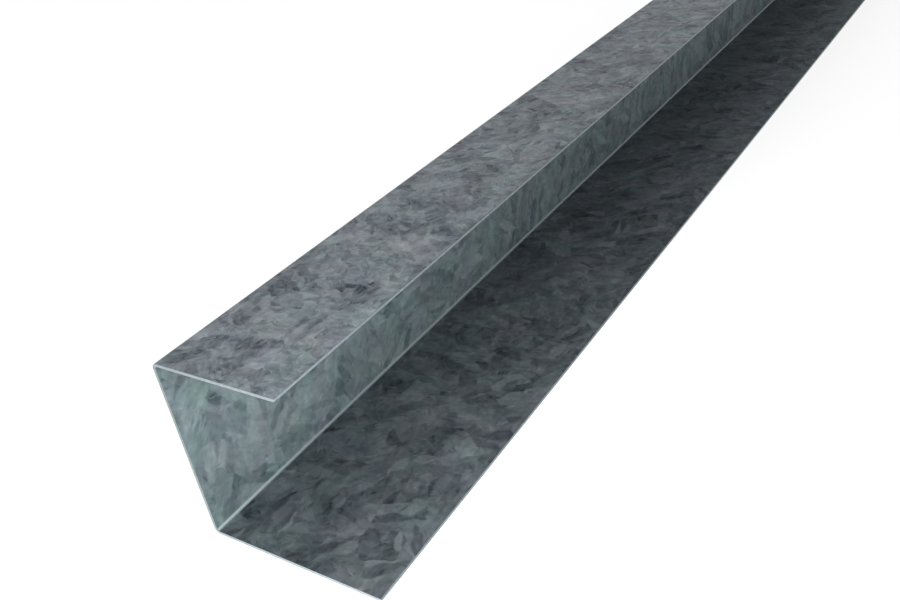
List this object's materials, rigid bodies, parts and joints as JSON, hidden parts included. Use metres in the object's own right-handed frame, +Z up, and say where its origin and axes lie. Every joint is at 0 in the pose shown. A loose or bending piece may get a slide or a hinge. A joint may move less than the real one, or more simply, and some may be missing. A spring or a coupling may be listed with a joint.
{
  "type": "ceiling perimeter channel",
  "caption": "Straight galvanised steel J-section channel for the edge of a suspended ceiling: plain web, short upper flange and longer lower flange, all rolled from thin strip.",
  "frame": {"origin": "under the middle of the channel's footprint, on the lower flange's outer face, where the ceiling board meets it", "axes": "+X along the channel, +Y out of the back of the web towards the wall, +Z up; both flanges point to -Y and the channel lies on its longer flange"},
  "size_m": [3.6, 0.028, 0.028],
  "materials": {
    "galvanised_steel": "hot-dip galvanised, satin, with a fine angular spangle"
  },
  "bodies": {
    "root": {"perimeter_channel": "galvanised_steel"}
  },
  "joints": []
}
